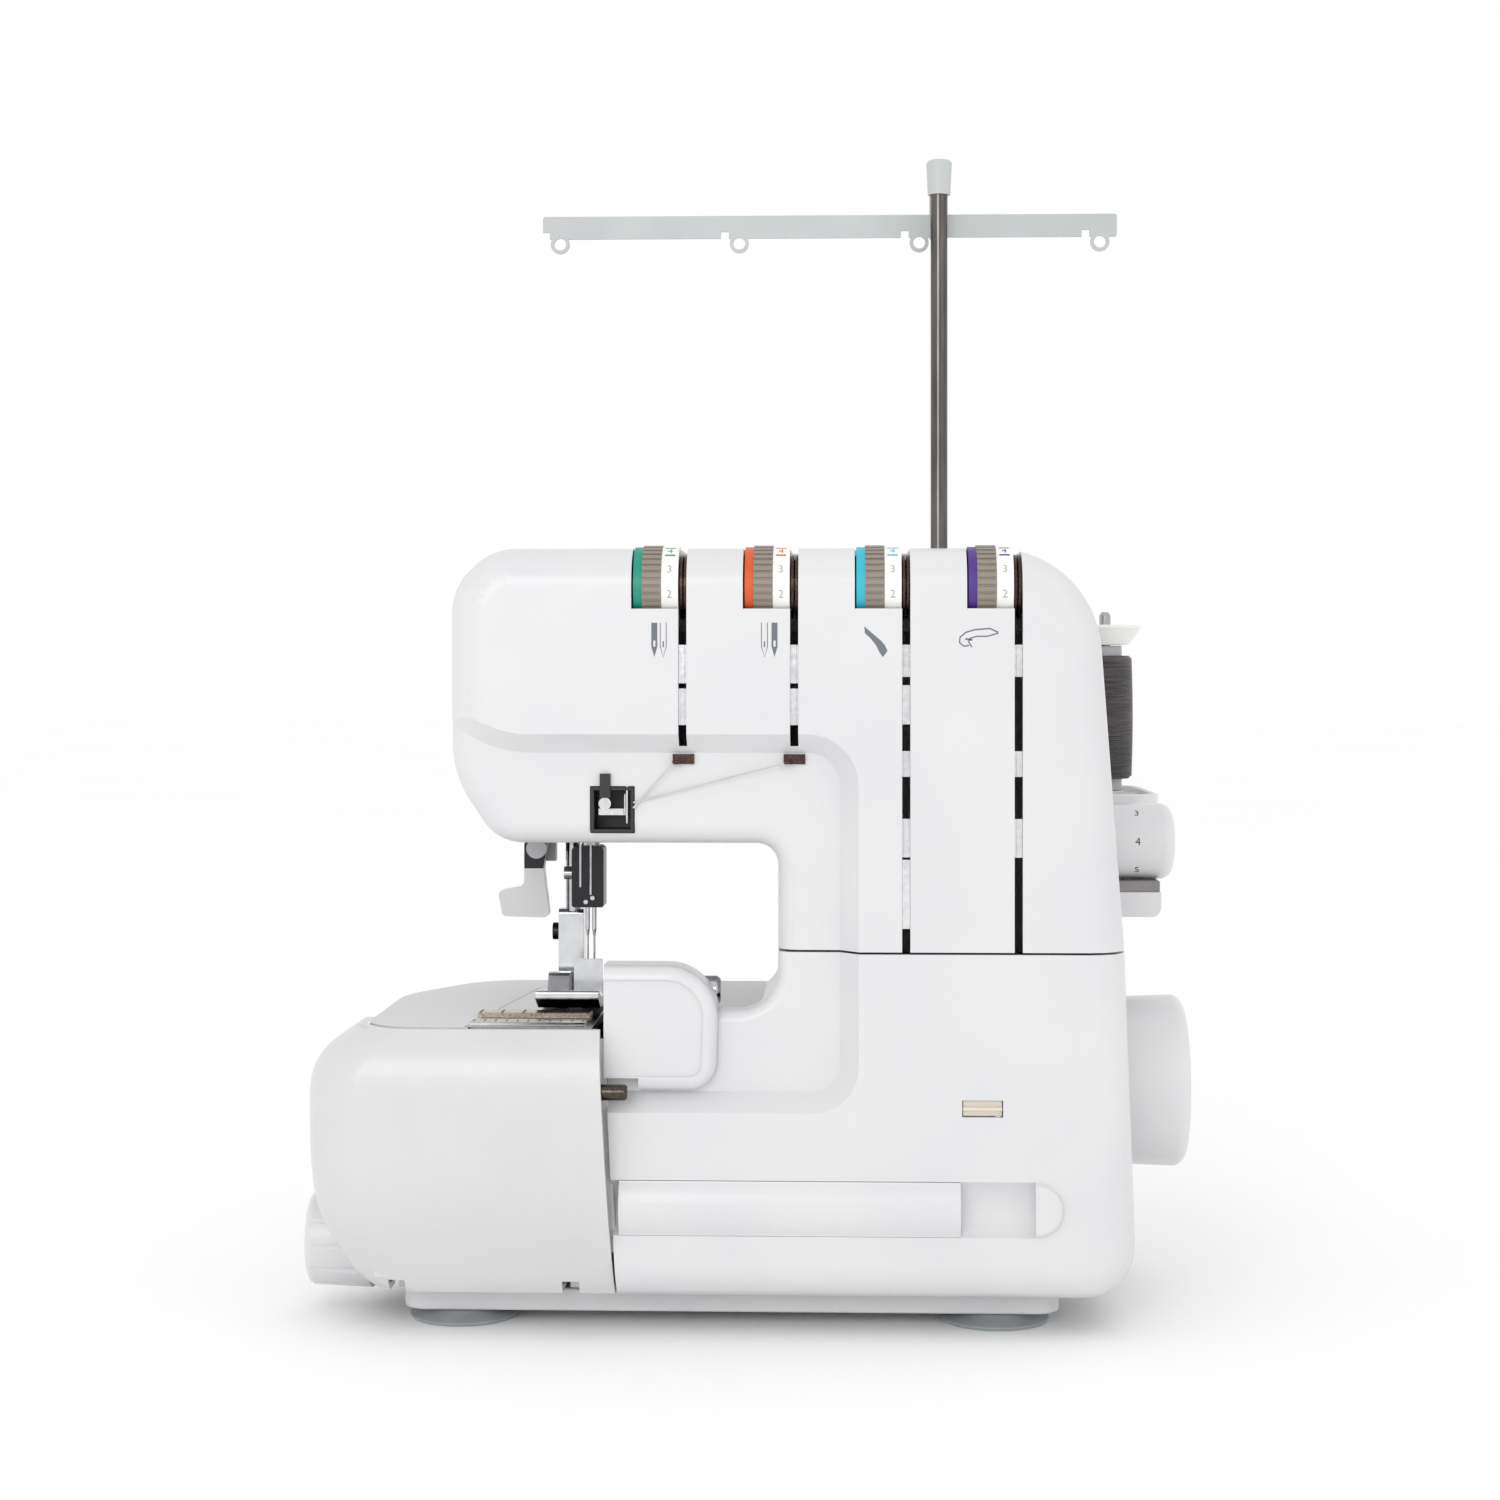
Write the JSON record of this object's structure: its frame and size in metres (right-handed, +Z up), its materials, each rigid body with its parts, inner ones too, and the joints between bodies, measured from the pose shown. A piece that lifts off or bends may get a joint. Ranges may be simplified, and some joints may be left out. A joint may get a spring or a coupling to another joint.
{
  "type": "overlock sewing machine",
  "caption": "White portable overlock sewing machine with thread tension wheels, looper cover, handwheel, stitch dials, spool tray and telescopic thread guide pole",
  "frame": {"origin": "middle of the width and depth, at the level of the feet", "axes": "+X to the handwheel side, +Y to the back, +Z up"},
  "size_m": [0.344, 0.26, 0.469],
  "materials": {
    "white_shell": "glossy injection-moulded white, faint cool shade",
    "door_shell": "glossy off-white moulded plastic",
    "bed_plate": "white enamelled plate",
    "gauge_plate": "satin plate with printed divisions",
    "indicator": "bronze tinted window",
    "wheel_plastic": "moulded wheel with coloured rim and knurl",
    "black_plastic": "satin black",
    "grey_plastic": "light grey moulded plastic",
    "core_plastic": "silver grey tube",
    "cap_plastic": "milky white cone",
    "foot_rubber": "soft grey rubber",
    "belt_rubber": "black toothed belt rubber",
    "thread": "wound sewing thread",
    "chrome_steel": "bright plated steel",
    "bright_steel": "ground steel",
    "dark_steel": "black painted pressed steel",
    "black_metal": "blackened steel",
    "cast_frame": "grit-blasted die casting",
    "pulley_alloy": "machined alloy",
    "bush_bronze": "sintered bronze"
  },
  "bodies": {
    "machine": {"base_plate": "white_shell", "suction_feet": "foot_rubber", "main_frame": "cast_frame", "upper_front_cover": "white_shell", "lower_front_cover": "white_shell", "rear_cover": "white_shell", "cloth_plate": "bed_plate", "needle_plate": "bright_steel", "seam_gauge": "gauge_plate", "knife_guard": "white_shell", "tool_tube": "white_shell", "indicator_window": "indicator", "tension_units": "chrome_steel", "thread_guides": "chrome_steel", "needle_threads": "thread", "take_up_box": "black_plastic", "bearing_bushes": "bush_bronze", "drive_belt": "belt_rubber", "motor": "dark_steel", "knife_bracket": "cast_frame", "lower_knife": "bright_steel", "hinge_brackets": "bright_steel", "dial_rest": "white_shell", "power_inlet": "black_plastic", "spool_tray": "white_shell", "spool_pins": "chrome_steel", "pole_tube": "chrome_steel"},
    "drive": {"main_shaft": "bright_steel", "handwheel": "white_shell", "shaft_pulley": "pulley_alloy"},
    "motor_rotor": {"motor_pulley": "pulley_alloy"},
    "needle_drive": {"needle_rocker": "cast_frame"},
    "needle_carrier": {"needle_bar": "chrome_steel", "needle_clamp": "black_metal", "clamp_screws": "bright_steel", "needles": "chrome_steel"},
    "presser": {"presser_bar": "chrome_steel", "presser_foot": "bright_steel"},
    "presser_lever": {"presser_lever": "white_shell"},
    "knife_arm": {"upper_knife_arm": "bright_steel", "upper_knife": "bright_steel"},
    "upper_looper": {"upper_looper": "chrome_steel"},
    "lower_looper": {"lower_looper": "chrome_steel"},
    "feed": {"feed_dogs": "bright_steel"},
    "looper_door": {"looper_cover": "door_shell", "latch_pin": "chrome_steel"},
    "tension_wheel_1": {"tension_wheel_1": "wheel_plastic"},
    "tension_wheel_2": {"tension_wheel_2": "wheel_plastic"},
    "tension_wheel_3": {"tension_wheel_3": "wheel_plastic"},
    "tension_wheel_4": {"tension_wheel_4": "wheel_plastic"},
    "stitch_length_dial": {"stitch_length_dial": "white_shell"},
    "feed_dial": {"feed_dial": "white_shell"},
    "switch_rocker": {"switch_rocker": "black_plastic"},
    "spool": {"spool_core": "core_plastic", "thread_winding": "thread", "spool_cap": "cap_plastic"},
    "thread_pole": {"thread_pole": "chrome_steel"},
    "guide_bar": {"guide_bar": "grey_plastic", "pole_cap": "grey_plastic"}
  },
  "joints": [
    {"name": "handwheel_turn", "type": "hinge", "parent": "machine", "child": "drive", "pos_m": [0.15, -0.03, 0.0835], "axis": [1, 0, 0], "continuous": true},
    {"name": "motor_turn", "type": "hinge", "parent": "machine", "child": "motor_rotor", "pos_m": [0.125, -0.03, 0.046], "axis": [1, 0, 0], "continuous": true},
    {"name": "needle_drive_swing", "type": "hinge", "parent": "machine", "child": "needle_drive", "pos_m": [0.01, -0.03, 0.235], "axis": [0, 1, 0], "range_deg": [-18.2, 2.2]},
    {"name": "needle_bar_slide", "type": "slide", "parent": "machine", "child": "needle_carrier", "axis": [0, 0, 1], "range_m": [-0.0235, 0.0026]},
    {"name": "upper_looper_swing", "type": "hinge", "parent": "machine", "child": "upper_looper", "pos_m": [-0.028, -0.05, 0.052], "axis": [0, 1, 0], "range_deg": [-1.5, 11]},
    {"name": "lower_looper_swing", "type": "hinge", "parent": "machine", "child": "lower_looper", "pos_m": [-0.092, -0.05, 0.052], "axis": [0, 1, 0], "range_deg": [-11, 1.5]},
    {"name": "upper_knife_swing", "type": "hinge", "parent": "machine", "child": "knife_arm", "pos_m": [-0.034, -0.092, 0.126], "axis": [1, 0, 0], "range_deg": [-5.6, 0.8]},
    {"name": "feed_slide", "type": "slide", "parent": "machine", "child": "feed", "axis": [0, 1, 0], "range_m": [-0.0005, 0.0032]},
    {"name": "presser_lever_lift", "type": "hinge", "parent": "machine", "child": "presser_lever", "pos_m": [-0.0862, -0.043, 0.1765], "axis": [0, 1, 0], "range_deg": [0, 60]},
    {"name": "presser_bar_slide", "type": "slide", "parent": "machine", "child": "presser", "axis": [0, 0, 1], "range_m": [0, 0.006]},
    {"name": "looper_cover_open", "type": "hinge", "parent": "machine", "child": "looper_door", "pos_m": [-0.105, -0.104, 0.026], "axis": [1, 0, 0], "range_deg": [0, 80]},
    {"name": "tension_1_turn", "type": "hinge", "parent": "machine", "child": "tension_wheel_1", "pos_m": [-0.034, -0.104, 0.2782], "axis": [1, 0, 0], "range_deg": [-90, 180]},
    {"name": "tension_2_turn", "type": "hinge", "parent": "machine", "child": "tension_wheel_2", "pos_m": [0.0072, -0.104, 0.2782], "axis": [1, 0, 0], "range_deg": [-90, 180]},
    {"name": "tension_3_turn", "type": "hinge", "parent": "machine", "child": "tension_wheel_3", "pos_m": [0.0484, -0.104, 0.2782], "axis": [1, 0, 0], "range_deg": [-90, 180]},
    {"name": "tension_4_turn", "type": "hinge", "parent": "machine", "child": "tension_wheel_4", "pos_m": [0.0896, -0.104, 0.2782], "axis": [1, 0, 0], "range_deg": [-90, 180]},
    {"name": "stitch_length_turn", "type": "hinge", "parent": "machine", "child": "stitch_length_dial", "pos_m": [0.16, -0.01, 0.1776], "axis": [1, 0, 0], "range_deg": [-144, 48]},
    {"name": "feed_ratio_turn", "type": "hinge", "parent": "machine", "child": "feed_dial", "pos_m": [-0.16, -0.066, 0.026], "axis": [1, 0, 0], "range_deg": [-60, 120]},
    {"name": "switch_rock", "type": "hinge", "parent": "machine", "child": "switch_rocker", "pos_m": [0.13991, 0.014, 0.081], "axis": [0, 1, 0], "range_deg": [-15, 0]},
    {"name": "spool_spin", "type": "hinge", "parent": "machine", "child": "spool", "pos_m": [0.1519, 0.092, 0.23], "axis": [0, 0, 1], "continuous": true},
    {"name": "pole_slide", "type": "slide", "parent": "machine", "child": "thread_pole", "axis": [0, 0, 1], "range_m": [-0.086, 0]},
    {"name": "guide_bar_swivel", "type": "hinge", "parent": "thread_pole", "child": "guide_bar", "pos_m": [0.077, 0.062, 0.45], "axis": [0, 0, 1], "range_deg": [-90, 90]}
  ],
  "couplings": [
    {"joint": "motor_turn", "follows": "handwheel_turn", "ratio": 2.3333},
    {"joint": "needle_drive_swing", "follows": "needle_bar_slide", "rad_per_m": 13.344},
    {"joint": "upper_looper_swing", "follows": "needle_bar_slide", "rad_per_m": -8.0064},
    {"joint": "lower_looper_swing", "follows": "needle_bar_slide", "rad_per_m": 8.0064},
    {"joint": "upper_knife_swing", "follows": "needle_bar_slide", "rad_per_m": 4.0032},
    {"joint": "feed_slide", "follows": "needle_bar_slide", "ratio": -0.12677},
    {"joint": "presser_lever_lift", "follows": "presser_bar_slide", "rad_per_m": 174.52}
  ]
}
